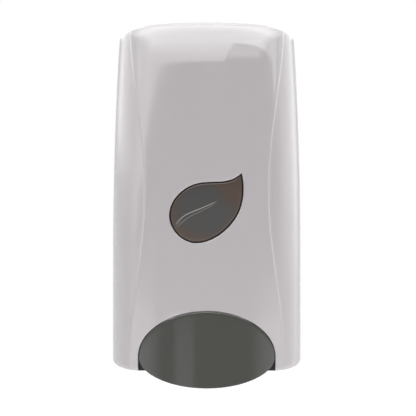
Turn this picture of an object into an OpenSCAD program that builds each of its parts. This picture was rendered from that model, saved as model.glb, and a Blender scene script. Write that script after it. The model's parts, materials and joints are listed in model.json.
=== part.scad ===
// Wall mounted soap dispenser, one litre, worked by a push panel.
// Frame: the wall is the plane y = 0, the front faces -Y, +Z is up, and the
// origin is the centre of the wall screw pattern on the back face.

/* [Cover] */
// Width of the cover at its widest
cover_w = 130; // [120:1:160]
// Height of the cover, bottom edge to crown
cover_h = 232; // [205:1:280]
// Distance from the wall to the front of the cover
cover_d = 106; // [98:1:130]
// Wall thickness of the cover
cover_wall = 2.5; // [2:0.1:3.2]
// How far each side draws in towards the top
top_taper = 5; // [0:0.5:7]
// How far the front leans back towards the top
front_lean = 8; // [0:0.5:10]
// How far the front bows back at its sides
front_bow = 14; // [6:0.5:16]
// Radius of the upper corners, seen from the front
corner_r = 9; // [8:0.5:16]
// Radius of the lower corners, seen from the front
foot_r = 3.5; // [3:0.5:8]
// Radius of the crown along the top edge
crown_r = 800; // [300:10:900]
// Height of the rounded shoulder above the front
shoulder_h = 28; // [20:1:32]
// Depth of the rounded shoulder
shoulder_d = 18; // [16:1:28]
// Height of the raised front panel's step
raise_h = 1; // [0.6:0.1:1.4]
// Width of the raised front panel at its waist
waist_w = 81; // [76:1:84]
// How far each edge of the raised panel flares from the waist
waist_flare = 11; // [6:0.5:12]

/* [Push panel] */
// Width of the push panel
push_w = 89.6; // [76:0.1:92]
// Height of the push panel
push_h = 50; // [44:1:60]
// Height of the push panel's widest line above its foot
push_wide = 19.4; // [17:0.1:30]
// How far the push panel hangs below the cover
push_drop = 10.2; // [6:0.2:12]
// Gap between the push panel and the cover
push_gap = 0.6; // [0.5:0.1:1.2]
// Thickness of the push panel
push_t = 2.4; // [2:0.1:3]
// Travel of the push panel, in degrees
push_travel = 13; // [8:1:13]

/* [Sight window] */
// Height of the window's centre above the origin
leaf_z = -8; // [-14:1:6]
// Size of the leaf, 1 being 49 mm wide
leaf_size = 1; // [0.8:0.05:1.1]
// Thickness of the window
lens_t = 2.8; // [2.4:0.1:3.2]

/* [Tank] */
// Wall thickness of the tank
tank_wall = 2; // [1.5:0.1:2.5]
// Clearance from the tank to what is around it
tank_gap = 2; // [1:0.5:4]
// Free height above the tank
headroom = 44; // [43:1:60]
// Wall thickness of the tank's neck
neck_wall = 4; // [3:0.5:5]

/* [Pump] */
// Bore of the pump barrel
bore_d = 14; // [13:0.1:17]
// Free length of the pump's spring in place
spring_len = 16; // [15:0.5:20]
// Wire diameter of the pump's spring
wire_d = 1.3; // [1:0.1:1.4]
// Turns of the pump's spring
spring_turns = 5; // [4:1:5]
// From the push panel's pivot back to the pump's axis
lever_reach = 33; // [31:1:36]

/* [Wall fixing] */
// Distance between the wall screws across
screw_dx = 60; // [50:1:76]
// Distance between the wall screws up and down
screw_dz = 150; // [120:1:160]
// Diameter of the wall screw holes
screw_d = 5.2; // [4.2:0.1:6.4]
// Thickness of the back plate
plate_t = 3; // [2.5:0.1:4]

/* [Hidden] */
$fn = 64;
eps = 0.01;

// ---- heights and depths that follow from the driving sizes ----
z_top = cover_h / 2;
z_bot = -cover_h / 2;
edge_y = 20;                       // where the cover's sides start to curve forward
taper_from = z_bot + 76;           // the sides are straight below this height
z_shoulder = z_top - shoulder_h;
z_raise_top = z_top - 3;           // top edge of the raised front panel
step_run = 0.8;                    // width of the step round the raised panel
fade_h = 26;                       // the step fades out over this height at the bottom
plan_n = 6;                        // squareness of the cover seen from above
plan_m = 2.5;
cover_back = -plate_t - 0.8;       // rear edge of the cover

hinge_y = -14;
hinge_r = 2;
ear_r = 9;                         // the cover's rear corners are round about the hinge
hinge_z = z_bot + ear_r;
turn_gap = 0.05;                   // radial clearance of a turning fit
side_gap = 0.6;                    // clearance between faces that slide past each other

z_push = z_bot + push_h / 2 - push_drop;
z_wide = z_bot + push_wide - push_drop;
pivot_r = 1.5;
pivot_y = -(cover_d - 18);
pivot_z = z_push + push_h / 2 + 2.2;

pump_y = pivot_y + lever_reach;
pad_r = 2;                         // round pads of the lever's fork, under the piston
pad_gap = 0.2;
pad_z = z_push - 1.5;
flange_t = 2.5;                    // piston flange that the fork lifts
flange_z = pad_z + pad_r + pad_gap;
barrel_wall = 1.7;
barrel_r = bore_d / 2 + barrel_wall;
spring_r = barrel_r + 2.4;
flange_r = spring_r + wire_d / 2 + 1.25;
neck_in = barrel_r + 0.3;
neck_r = neck_in + neck_wall;
nut_floor = 3;
barrel_flange_t = 3;
gasket_t = 2;
neck_l = 14;
nut_z = flange_z + flange_t + spring_len;
neck_z = nut_z + nut_floor + barrel_flange_t + gasket_t;
shelf_z = neck_z + neck_l;         // the tank stands at this height
shelf_t = 3;
stem_r = 4.5;
stem_bore_r = 2;
stroke = lever_reach * sin(push_travel)
    + (pivot_z - pad_z) * (1 - cos(push_travel));

rim_gap = 1;                       // between the cover and the back plate's rim
rim_t = 2;
rim_d = 18;                        // depth of the rim from the wall
top_t = 2;                         // thickness of the tank's top plate
tank_z1 = z_top - headroom;
tank_back = -plate_t - 4;
tank_r_back = 8;
tank_half = side_x(tank_z1 + top_t, cover_wall + rim_gap + rim_t) - tank_gap;
front_gap = 12;                    // room between the tank and the cover for the window
tank_depth = front_depth(tank_z1 + top_t, cover_wall) - front_gap;

lid_y = -44;                       // hinge line of the fill lid
lid_l = 30;
lid_w = 64;
lid_t = 2;
lid_grip = 1.5;                    // how far the lid's finger tab stands out
lid_gap_z = 1;                     // space that the lid's gasket fills
knuckle_r = 3;
lid_pin_r = 1.25;
lid_z = tank_z1 + top_t + knuckle_r + 0.3;
fill_x = 27;
fill_margin = 5;                   // from the lid's edge to the fill opening

lock_y = -30;
bush_r = 7;
plug_r = 5;
cam_z = z_top - 17.5;
cam_t = 2;
cam_reach = 14.5;
lug_r = 12;                        // inner radius of the cam's upright lug
lug_h = 3;
keeper_t = 2;
keeper_y = lock_y + lug_r - 1 - keeper_t;

// ---- outlines ----
function mix(a, b, t) = a + (b - a) * t;
function clamp01(t) = max(0, min(1, t));
function corner_in(rise, r) = rise <= 0 ? 0 : r - sqrt(max(0, r * r - rise * rise));

// Half the cover's width at height z, drawn in by inset
function side_x(z, inset) =
    cover_w / 2 - top_taper * pow(clamp01((z - taper_from) / (z_top - taper_from)), 2) - inset
    - corner_in(z - (z_top - corner_r), corner_r - inset)
    - corner_in(z_bot + foot_r - z, foot_r);

// Depth of the cover's front at height z, drawn in by inset
function front_depth(z, inset) =
    let (rise = (z - z_shoulder) / (shoulder_h - inset))
    cover_d - front_lean * pow((z - z_bot) / cover_h, 2) - inset
    - (rise <= 0 ? 0 : (shoulder_d - inset) * (1 - sqrt(max(0, 1 - rise * rise))));

// Depth of the cover at the share s of its half width
function plan_depth(s, z, inset) =
    edge_y + (front_depth(z, inset) - edge_y - front_bow * s * s)
    * pow(max(0, 1 - pow(s, plan_n)), 1 / plan_m);

// The top edge is crowned, and the crown fades out down the shoulder
function crowned(x, z) = z - x * x / (2 * crown_r) * pow(clamp01((z - z_shoulder) / shoulder_h), 2);

// Half the raised panel's width: a waist that flares both ways
function raise_x(z) = waist_w / 2
    + waist_flare * (1 - cos(min(180, abs(z - z_waist) * 180 / (cover_h * 0.52)))) / 2;
z_waist = 3;
function raise_at(z) = z > z_raise_top ? 0 : raise_h * clamp01((z - z_bot - 8) / fade_h);

function bezier(a, b, c, d, n) = [for (i = [0 : n - 1]) let (t = i / n, u = 1 - t)
    u * u * u * a + 3 * u * u * t * b + 3 * u * t * t * c + t * t * t * d];

// Leaf outline: the tip, down the right side, round the foot, and back over the top
leaf_tip = [23, 23];
leaf_right = [21.8, -1.2];
leaf_foot = [-6.4, -23.1];
leaf_left = [-24.7, -4.8];
leaf_top = [-2.9, 16.8];
leaf_points = concat(
    bezier(leaf_tip, [24.6, 16.5], [25, 7], leaf_right, 8),
    bezier(leaf_right, [18.3, -11], [6, -22.8], leaf_foot, 9),
    bezier(leaf_foot, [-15.5, -23.3], [-24.6, -15.2], leaf_left, 9),
    bezier(leaf_left, [-24.8, 5.5], [-14.5, 15.6], leaf_top, 8),
    bezier(leaf_top, [8, 17.8], [15.5, 15.8], leaf_tip, 8)
);

// Points of an arc from angle a0 to a1
function arc(c, r, a0, a1, n) = [for (i = [0 : n]) let (a = mix(a0, a1, i / n))
    [c[0] + r * cos(a), c[1] + r * sin(a)]];

// The cover's outline seen from the front
function front_outline(inset) =
    let (
        r = foot_edge(inset),
        foot = [for (i = [0 : 4]) z_bot + inset + r * (1 - cos(22.5 * i))],
        side = [for (i = [1 : 11]) mix(z_bot + inset + r, z_top - corner_r, i / 11)],
        top = [for (i = [1 : 6]) z_top - corner_r + (corner_r - inset) * sin(15 * i)],
        half = [for (z = concat(foot, side, top)) let (x = side_x(z, inset))
            [x + foot_in(z, inset), crowned(x, z)]],
        n = len(half) - 1,
        x_top = half[n][0]
    )
    concat(half, [for (i = [1 : 7]) let (x = x_top * (1 - i / 4)) [x, crowned(x, z_top - inset)]],
        [for (i = [n : -1 : 0]) [-half[i][0], half[i][1]]]);

// Foot radius of an inset outline, which never comes to a point
function foot_edge(inset) = max(0.5, foot_r - inset);

// side_x keeps the outer foot radius, so an inset outline takes its own here
function foot_in(z, inset) = corner_in(z_bot + foot_r - z, foot_r)
    - corner_in(z_bot + inset + foot_edge(inset) - z, foot_edge(inset));

// ---- general solids ----
module along_x(x0, x1) {
    translate([x0, 0, 0]) rotate([90, 0, 90]) linear_extrude(x1 - x0) children();
}

module along_y(y0, y1) {
    translate([0, y1, 0]) rotate([90, 0, 0]) linear_extrude(y1 - y0) children();
}

module rod_x(x0, x1, r, y, z) {
    translate([x0, y, z]) rotate([0, 90, 0]) cylinder(r = r, h = x1 - x0);
}

module rod_y(y0, y1, r, x, z) {
    translate([x, y0, z]) rotate([-90, 0, 0]) cylinder(r = r, h = y1 - y0);
}

module box(x0, x1, y0, y1, z0, z1) {
    translate([x0, y0, z0]) cube([x1 - x0, y1 - y0, z1 - z0]);
}

module at_pump() {
    translate([0, pump_y, 0]) children();
}

module tube(r0, r1, z0, z1) {
    rotate_extrude() translate([r0, z0]) square([r1 - r0, z1 - z0]);
}

module both_sides() {
    children();
    mirror([1, 0, 0]) children();
}

module leaf(grow) {
    scale(leaf_size + grow / 24) polygon(leaf_points);
}

// ---- the cover's body as rings of points, bottom to top ----
side_points = 9;
panel_points = 4;

function half_ring(z, inset, raised, back) =
    let (
        w = side_x(z, inset),
        foot_x = min(raise_x(z), w * 0.93) + step_run,
        foot_a = asin(pow(foot_x / w, plan_n / 2)),
        side = [for (i = [0 : side_points])
            let (s = pow(sin(mix(90, foot_a, i / side_points)), 2 / plan_n))
            [s * w, -plan_depth(s, z, inset)]],
        crest = foot_x - step_run,
        panel = [for (i = [0 : panel_points])
            let (x = crest * (1 - i / panel_points))
            [x, -plan_depth(x / w, z, inset) - (raised ? raise_at(z) : 0)]]
    )
    concat([[w, back]], side, panel);

function ring(z, inset, raised, back) =
    let (half = half_ring(z, inset, raised, back), n = len(half) - 1)
    concat([for (p = half) [-p[0], p[1], crowned(p[0], z)]],
        [for (i = [n - 1 : -1 : 0]) [half[i][0], half[i][1], crowned(half[i][0], z)]]);

function rear_line(z, inset, back, n) =
    [for (i = [0 : n - 1]) let (x = side_x(z, inset) * (2 * i / (n - 1) - 1)) [x, back, crowned(x, z)]];

// Closed body bounded by the cover's surface drawn in by inset, from z0 up, with a flat rear
module cover_body(inset, raised, back, z0) {
    top = z_top - inset;
    a_raise = asin((z_raise_top - z_shoulder) / shoulder_h);
    a_step = asin((z_raise_top + step_run - z_shoulder) / shoulder_h);
    rows = concat(
        z0 < z_bot ? [z0] : [],
        [for (i = [0 : 3]) z_bot + foot_r * (1 - cos(30 * i))],
        [for (i = [1 : 13]) mix(z_bot + foot_r, z_shoulder, i / 13)],
        [for (i = [1 : 5]) z_shoulder + (shoulder_h - inset) * sin(a_raise * i / 5)],
        [for (i = [0 : 3]) z_shoulder + (shoulder_h - inset) * sin(mix(a_step, 90, i / 3))]
    );
    rings = [for (z = rows) ring(z, inset, raised, back)];
    n = len(rings[0]);
    m = len(rings);
    points = concat([for (r = rings) each r], rear_line(top, inset, back, n));
    faces = concat(
        [[for (i = [0 : n - 1]) i]],
        [for (j = [0 : m - 1]) for (i = [0 : n - 1]) let (k = (i + 1) % n)
            each [[j * n + i, (j + 1) * n + i, (j + 1) * n + k], [j * n + i, (j + 1) * n + k, j * n + k]]],
        [[for (i = [n - 1 : -1 : 0]) m * n + i]]
    );
    polyhedron(points = points, faces = faces);
}

// ---- wall side ----
module back_plate() {
    rim_in = cover_wall + rim_gap;
    color("white") difference() {
        union() {
            along_y(-plate_t, 0) polygon(front_outline(0.6));
            difference() {
                along_y(-rim_d, -plate_t + eps) polygon(front_outline(rim_in));
                along_y(-rim_d - 1, -plate_t + 2 * eps) polygon(front_outline(rim_in + rim_t));
                both_sides() box(hinge_lug_x - hinge_lug_t - 3, cover_w, -rim_d - 2, -plate_t - eps,
                    z_bot - 1, hinge_z + ear_r + 2);
            }
            shelf();
            keeper();
            both_sides() hinge_lug();
            for (x = [-1, 1], z = [-1, 1])
                rod_y(-plate_t - 1.5, -plate_t + eps, screw_d / 2 + 3, x * screw_dx / 2, z * screw_dz / 2);
        }
        for (x = [-1, 1], z = [-1, 1])
            rod_y(-plate_t - 3, 1, screw_d / 2, x * screw_dx / 2, z * screw_dz / 2);
        both_sides() rod_x(0, hinge_lug_x + 1, hinge_r, hinge_y, hinge_z);
    }
}

hinge_lug_x = cover_w / 2 - 12;    // outer face of each hinge lug
hinge_lug_t = 6;
module hinge_lug() {
    box(hinge_lug_x - hinge_lug_t, hinge_lug_x, hinge_y, -plate_t + eps, hinge_z - 6, hinge_z + 6);
    rod_x(hinge_lug_x - hinge_lug_t, hinge_lug_x, 6, hinge_y, hinge_z);
}

shelf_x = cover_w / 2 - 19;
shelf_front = -tank_depth + 6;
slot_x = neck_r + 1;
module shelf() {
    difference() {
        box(-shelf_x, shelf_x, shelf_front, -plate_t + eps, shelf_z - shelf_t, shelf_z);
        rod_z_hole(slot_x, pump_y, shelf_z - shelf_t - 1, shelf_z + 1);
        box(-slot_x, slot_x, shelf_front - 1, pump_y, shelf_z - shelf_t - 1, shelf_z + 1);
    }
    both_sides() along_x(shelf_x - 3, shelf_x)
        polygon([[-plate_t + eps, shelf_z - eps], [shelf_front, shelf_z - eps],
            [shelf_front, shelf_z - shelf_t], [-plate_t + eps, shelf_z - shelf_t - 26]]);
}

module rod_z_hole(r, y, z0, z1) {
    translate([0, y, z0]) cylinder(r = r, h = z1 - z0);
}

// The lock's cam catches behind this hanging lip
module keeper() {
    arm_z = cam_z + cam_t + lug_h + 3;
    box(-9, 4, keeper_y, -plate_t + eps, arm_z, arm_z + 2.5);
    box(-9, 4, keeper_y, keeper_y + keeper_t, cam_z + cam_t + 1, arm_z + eps);
}

module cover_hinge_pins() {
    color("silver") both_sides()
        rod_x(hinge_lug_x - hinge_lug_t - 2, boss_x + 3, hinge_r, hinge_y, hinge_z);
}

// ---- tank ----
// The tank's front bends like the cover's
function tank_outline(inset) =
    let (half = tank_half - inset, depth = tank_depth - inset,
        r = tank_r_back - inset, back = tank_back - inset - r)
    concat(
        [for (i = [-12 : 12]) let (a = 7.5 * i, s = sign(a) * pow(abs(sin(a)), 2 / plan_n))
            [s * half, -edge_y - (depth - edge_y - front_bow * s * s) * pow(cos(a), 2 / plan_m)]],
        arc([half - r, back], r, 0, 90, 6),
        arc([r - half, back], r, 90, 180, 6));

module tank() {
    color("ghostwhite") difference() {
        union() {
            translate([0, 0, shelf_z]) linear_extrude(tank_z1 - shelf_z) polygon(tank_outline(0));
            at_pump() translate([0, 0, neck_z]) cylinder(r = neck_r, h = neck_l + 1);
        }
        translate([0, 0, shelf_z + tank_wall]) linear_extrude(tank_z1 - shelf_z)
            polygon(tank_outline(tank_wall));
        at_pump() translate([0, 0, neck_z - 1]) cylinder(r = neck_in, h = neck_l + 5);
    }
}

module tank_top() {
    z0 = tank_z1;
    z1 = tank_z1 + top_t;
    lid_front = lid_y - lid_l;
    color("whitesmoke") difference() {
        union() {
            translate([0, 0, z0]) linear_extrude(top_t) polygon(tank_outline(0));
            difference() {
                translate([0, 0, z0 - 4]) linear_extrude(4 + eps) polygon(tank_outline(tank_wall + 0.2));
                translate([0, 0, z0 - 5]) linear_extrude(6) polygon(tank_outline(tank_wall + 2));
            }
            both_sides() {
                box(lid_ear_x, lid_ear_x + 4, lid_y - knuckle_r, lid_y + knuckle_r, z1 - eps, lid_z);
                rod_x(lid_ear_x, lid_ear_x + 4, knuckle_r, lid_y, lid_z);
            }
        }
        box(-fill_x, fill_x, lid_front + fill_margin, lid_y - knuckle_r - 4, z0 - 6, z1 + 1);
        rod_x(-lid_ear_x - 5, lid_ear_x + 5, lid_pin_r, lid_y, lid_z);
    }
}
lid_ear_x = 21;

module lid_hinge_pin() {
    color("silver") rod_x(-lid_ear_x - 4, lid_ear_x + 4, lid_pin_r, lid_y, lid_z);
}

module fill_lid() {
    z0 = tank_z1 + top_t + lid_gap_z;
    color("whitesmoke") difference() {
        union() {
            box(-lid_w / 2, lid_w / 2, lid_y - lid_l, lid_y - knuckle_r - 1, z0, z0 + lid_t);
            box(-lid_ear_x + side_gap, lid_ear_x - side_gap, lid_y - knuckle_r - 2, lid_y, z0, z0 + lid_t);
            rod_x(-lid_ear_x + side_gap, lid_ear_x - side_gap, knuckle_r, lid_y, lid_z);
            box(-10, 10, lid_y - lid_l - lid_grip, lid_y - lid_l + eps, z0, z0 + lid_t);
        }
        rod_x(-lid_ear_x, lid_ear_x, lid_pin_r + turn_gap, lid_y, lid_z);
    }
}

module lid_gasket() {
    z0 = tank_z1 + top_t;
    y0 = lid_y - lid_l + fill_margin;
    y1 = lid_y - knuckle_r - 4;
    color("dimgray") difference() {
        box(-fill_x - 3, fill_x + 3, y0 - 3, y1 + 2, z0, z0 + lid_gap_z);
        box(-fill_x, fill_x, y0, y1, z0 - 1, z0 + lid_gap_z + 1);
    }
}

// ---- cover ----
boss_x = hinge_lug_x + side_gap;
lug_x0 = 38;                       // inner face of each lug that carries the push panel's rod
lug_t = 4;

// Point of the push panel's outline at an angle: an egg that is widest below its middle.
function push_outline(angle, grow) = [
    (push_w / 2 + grow) * cos(angle),
    z_wide + ((sin(angle) > 0 ? push_h - push_wide : push_wide) + grow) * sin(angle)];

module arch(grow) {
    rx = push_w / 2 + grow;
    polygon(concat([for (i = [0 : 24]) push_outline(7.5 * i, grow)],
        [[-rx, z_bot - 20], [rx, z_bot - 20]]));
}

module front_cover() {
    color("whitesmoke") difference() {
        union() {
            difference() {
                cover_body(0, true, cover_back, z_bot);
                cover_body(cover_wall, false, 1, z_bot - 1);
            }
            both_sides() {
                rod_x(boss_x, side_x(hinge_z, cover_wall / 2), 5.5, hinge_y, hinge_z);
                push_lug();
            }
        }
        along_y(-cover_d - 20, -edge_y - 20) arch(push_gap);
        along_y(-cover_d - 20, -edge_y - 20) translate([0, leaf_z]) leaf(0);
        both_sides() rod_x(boss_x - 1, boss_x + 4, hinge_r + turn_gap, hinge_y, hinge_z);
        rod_x(-lug_x0 - lug_t - 1, lug_x0 + lug_t + 1, pivot_r, pivot_y, pivot_z);
        rod_z_hole(bush_r, lock_y, z_top - 10, z_top + 2);
        rear_corner_cut();
    }
}

// Clears the turning circle about the hinge at the cover's lower rear corners
module rear_corner_cut() {
    difference() {
        box(-cover_w, cover_w, hinge_y, 1, z_bot - 2, hinge_z);
        rod_x(-cover_w - 1, cover_w + 1, ear_r, hinge_y, hinge_z);
    }
}

// A lug inside the front, behind the raised panel, that the rod runs through
module push_lug() {
    y_front = -plan_depth((lug_x0 + lug_t) / side_x(pivot_z, 0), pivot_z, cover_wall / 2);
    box(lug_x0, lug_x0 + lug_t, y_front, pivot_y, pivot_z - 4, pivot_z + 4);
    rod_x(lug_x0, lug_x0 + lug_t, 4, pivot_y, pivot_z);
}

// Radius that the cover's front bends round, from its middle out to x, at height z
function bend_r(x, z) =
    let (drop = front_depth(z, 0) - plan_depth(x / side_x(z, 0), z, 0))
    (x * x + drop * drop) / (2 * drop);

// Slab bent to radius r like the cover's front, from depth d1 out to depth d0, about height z
module bowed_slab(r, d0, d1, z, h) {
    lean = atan(2 * front_lean * (z - z_bot) / (cover_h * cover_h));
    translate([0, 0, z]) rotate([-lean, 0, 0]) translate([0, r, -h / 2]) difference() {
        translate([0, -d0, 0]) cylinder(r = r, h = h, $fn = 180);
        translate([0, -d1, -1]) cylinder(r = r, h = h + 2, $fn = 180);
    }
}

lens_gap = 0.1;
lens_rim = 2.5;                    // the window's rim laps behind the cover by this much
lens_rim_t = 1.4;

module sight_window() {
    r = bend_r(25 * leaf_size, leaf_z);
    back = front_depth(leaf_z, cover_wall) - 6 * lens_gap;
    color("dimgray") intersection() {
        along_y(-cover_d - 4, -cover_d / 2) translate([0, leaf_z]) leaf(-lens_gap);
        bowed_slab(r, back + lens_t + 1.3, back, leaf_z, cover_d);
    }
    color("dimgray") intersection() {
        along_y(-cover_d - 4, -cover_d / 2) translate([0, leaf_z]) leaf(lens_rim);
        bowed_slab(r, back + eps, back - lens_rim_t, leaf_z, cover_d);
    }
}

module push_pivot_rod() {
    color("silver") rod_x(-lug_x0 - lug_t, lug_x0 + lug_t, pivot_r, pivot_y, pivot_z);
}

// ---- lock ----
module at_lock() {
    translate([0, lock_y, 0]) children();
}

module lock_bush() {
    color("gainsboro") at_lock() {
        tube(plug_r + turn_gap, bush_r, cam_z + cam_t + 4, z_top);
        tube(plug_r + turn_gap, bush_r + 2, z_top, z_top + 1);
    }
}

module lock_nut() {
    color("silver") at_lock() difference() {
        translate([0, 0, z_top - cover_wall - 3.2]) cylinder(r = 10.5, h = 3, $fn = 6);
        translate([0, 0, z_top - cover_wall - 4]) cylinder(r = bush_r, h = 5);
    }
}

module lock_plug() {
    color("gray") at_lock() difference() {
        translate([0, 0, cam_z + cam_t]) cylinder(r = plug_r, h = z_top + 1 - cam_z - cam_t);
        box(-3.2, 3.2, -0.8, 0.8, z_top - 4, z_top + 2);
        translate([0, 0, cam_z]) cylinder(r = 1.25, h = 9);
    }
}

module lock_cam() {
    color("silver") at_lock() difference() {
        union() {
            translate([0, 0, cam_z]) cylinder(r = 6, h = cam_t);
            box(0, cam_reach, -4, 4, cam_z, cam_z + cam_t);
            box(lug_r, cam_reach, -3, 3, cam_z, cam_z + cam_t + lug_h);
        }
        translate([0, 0, cam_z - 1]) cylinder(r = 1.6, h = cam_t + 2);
    }
}

module lock_screw() {
    color("silver") at_lock() {
        translate([0, 0, cam_z - 2]) cylinder(r = 3, h = 2);
        translate([0, 0, cam_z - eps]) cylinder(r = 1.25, h = 8);
    }
}

// ---- push panel and its lever ----
module push_shape(grow) {
    polygon([for (i = [0 : 47]) push_outline(7.5 * i, grow)]);
}

skirt_t = 1.8;
skirt_d = 6;
panel_depth = cover_d + 1.5;       // the panel stands a little proud of the cover
panel_r = bend_r(push_w / 2, z_push + push_h / 4);
post_r = 3;
post_x = 24;
post_front = -panel_depth + panel_r - sqrt(pow(panel_r, 2) - pow(post_x + post_r, 2)) + 0.5;
panel_screw_r = 1.1;

module push_panel() {
    color("dimgray") union() {
        intersection() {
            along_y(-cover_d - 8, -cover_d / 2) push_shape(0);
            bowed_slab(panel_r, panel_depth, panel_depth - push_t, z_bot, push_h * 2);
        }
        difference() {
            intersection() {
                along_y(-cover_d - 8, -cover_d / 2) push_shape(0);
                bowed_slab(panel_r, panel_depth - push_t + eps, panel_depth - push_t - skirt_d,
                    z_bot, push_h * 2);
            }
            along_y(-cover_d - 9, -cover_d / 3) push_shape(-skirt_t);
        }
        for (x = [-1, 1]) difference() {
            rod_y(post_front, lever_y0, post_r, x * post_x, z_push);
            rod_y(post_front + 3, lever_y0 + 1, panel_screw_r, x * post_x, z_push);
        }
    }
}

lever_t = 2.5;
lever_y1 = pivot_y + 9;            // rear face of the lever's plate
lever_y0 = lever_y1 - lever_t;
fork_in = stem_r + 2;
fork_out = fork_in + 4.5;
sleeve_x0 = 31;

module push_lever() {
    color("#222222") difference() {
        union() {
            intersection() {
                along_y(lever_y0, lever_y1) arch(push_gap + 0.45);
                box(-cover_w, cover_w, lever_y0 - 1, lever_y1 + 1, z_bot - 1, pivot_z - 4);
            }
            both_sides() {
                rod_x(sleeve_x0, lug_x0 - side_gap, 4, pivot_y, pivot_z);
                box(sleeve_x0, lug_x0 - side_gap, pivot_y, lever_y1, pivot_z - 12, pivot_z);
                box(fork_in, fork_out, lever_y1 - eps, pump_y, pad_z - pad_r, pad_z + pad_r / 2);
                rod_x(fork_in, fork_out, pad_r, pump_y, pad_z);
                along_x(fork_in + 1, fork_in + 3.5) polygon([[lever_y1 - eps, pad_z + 14],
                    [lever_y1 - eps, pad_z], [pump_y - flange_r - 3, pad_z]]);
            }
        }
        rod_x(-lug_x0, lug_x0, pivot_r + turn_gap, pivot_y, pivot_z);
        for (x = [-1, 1]) rod_y(lever_y0 - 1, lever_y1 + 1, panel_screw_r + 0.4, x * post_x, z_push);
    }
}

module panel_screws() {
    color("silver") for (x = [-1, 1]) {
        rod_y(lever_y0 - 6, lever_y1 + eps, panel_screw_r, x * post_x, z_push);
        rod_y(lever_y1, lever_y1 + 1.8, 2.6, x * post_x, z_push);
    }
}

// ---- pump ----
barrel_z0 = flange_z + flange_t + stroke + 0.9;
barrel_top = neck_z + 11;
head_l = 5;
head_z = barrel_z0 + 2;            // underside of the piston's head at rest
ring_r = 1;
ball_r = 3;
cage_hole_r = 1;
cage_z = head_z + head_l + stroke + 1.2;
cage_t = 1.5;

module neck_gasket() {
    color("dimgray") at_pump() tube(barrel_r, neck_r, neck_z - gasket_t, neck_z);
}

module collar_nut() {
    color("white") at_pump() {
        tube(barrel_r + 0.3, neck_r + 5, nut_z, nut_z + nut_floor);
        tube(neck_r + 0.15, neck_r + 5, nut_z + nut_floor - eps, shelf_z - shelf_t - 1.5);
    }
}

module pump_barrel() {
    color("ghostwhite") at_pump() difference() {
        union() {
            translate([0, 0, barrel_z0]) cylinder(r = barrel_r, h = barrel_top + 3 - barrel_z0);
            translate([0, 0, nut_z + nut_floor]) cylinder(r = neck_r, h = barrel_flange_t);
        }
        translate([0, 0, barrel_z0 - 1]) cylinder(r = bore_d / 2, h = barrel_top + 1 - barrel_z0);
        translate([0, 0, barrel_top - 1]) cylinder(r = 2.2, h = 6);
    }
}

module inlet_ball() {
    color("silver") at_pump() translate([0, 0, cage_z + cage_t + sqrt(ball_r * ball_r - cage_hole_r * cage_hole_r)])
        sphere(r = ball_r);
}

module ball_cage() {
    color("gainsboro") at_pump() difference() {
        translate([0, 0, cage_z]) cylinder(r = bore_d / 2, h = cage_t);
        translate([0, 0, cage_z - 1]) cylinder(r = cage_hole_r, h = cage_t + 2);
        for (a = [0 : 60 : 300]) rotate(a)
            translate([4.6, 0, cage_z - 1]) cylinder(r = cage_hole_r, h = cage_t + 2);
    }
}

helix_steps = 14;                  // rings in each turn
wire_sides = 8;

module pump_spring() {
    n = spring_turns * helix_steps;
    rise = spring_len - wire_d - 0.1;
    points = [for (i = [0 : n]) for (j = [0 : wire_sides - 1])
        let (a = 360 * i / helix_steps, b = 360 * j / wire_sides, r = spring_r + wire_d / 2 * cos(b))
        [r * cos(a), r * sin(a), wire_d / 2 * sin(b) + rise * i / n]];
    faces = concat(
        [[for (j = [0 : wire_sides - 1]) j]],
        [for (i = [0 : n - 1]) for (j = [0 : wire_sides - 1])
            let (k = (j + 1) % wire_sides, a = i * wire_sides)
            each [[a + j, a + wire_sides + j, a + wire_sides + k], [a + j, a + wire_sides + k, a + k]]],
        [[for (j = [wire_sides - 1 : -1 : 0]) n * wire_sides + j]]
    );
    color("silver") at_pump() translate([0, 0, flange_z + flange_t + wire_d / 2 + 0.05])
        polyhedron(points = points, faces = faces);
}

stem_l = 9.5;                      // nozzle below the flange
module piston() {
    color("ghostwhite") at_pump() rotate_extrude() polygon([
        [stem_bore_r, flange_z - stem_l], [stem_r, flange_z - stem_l], [stem_r, flange_z],
        [flange_r, flange_z], [flange_r, flange_z + flange_t], [stem_r, flange_z + flange_t],
        [stem_r, head_z], [bore_d / 2 - 0.2, head_z],
        [bore_d / 2 - 0.2, head_z + head_l / 2 - ring_r], [bore_d / 2 - 2 * ring_r, head_z + head_l / 2 - ring_r],
        [bore_d / 2 - 2 * ring_r, head_z + head_l / 2 + ring_r], [bore_d / 2 - 0.2, head_z + head_l / 2 + ring_r],
        [bore_d / 2 - 0.2, head_z + head_l], [stem_bore_r, head_z + head_l]
    ]);
}

module piston_ring() {
    color("#222222") at_pump() rotate_extrude()
        translate([bore_d / 2 - ring_r - 0.05, head_z + head_l / 2]) circle(r = ring_r - 0.05);
}

// A soft duckbill pushed into the nozzle's mouth
module drip_valve() {
    z0 = flange_z - stem_l;
    color("lightgray") at_pump() rotate_extrude() polygon([
        [0.4, z0 - 3], [1.2, z0 - 3], [stem_r - 0.5, z0 - 1], [stem_r - 0.5, z0],
        [stem_bore_r, z0], [stem_bore_r, z0 + 3], [1.2, z0 + 3], [1.2, z0 - 1]
    ]);
}

back_plate();
tank();
tank_top();
lid_hinge_pin();
fill_lid();
lid_gasket();
front_cover();
sight_window();
cover_hinge_pins();
push_pivot_rod();
lock_bush();
lock_nut();
lock_plug();
lock_cam();
lock_screw();
push_panel();
push_lever();
panel_screws();
neck_gasket();
collar_nut();
pump_barrel();
inlet_ball();
ball_cage();
pump_spring();
piston();
piston_ring();
drip_valve();
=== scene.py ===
"""Wall mounted soap dispenser: the visible pieces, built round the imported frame."""
import json
import math

import bmesh
import bpy
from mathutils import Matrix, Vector
from mathutils.geometry import delaunay_2d_cdt


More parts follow.
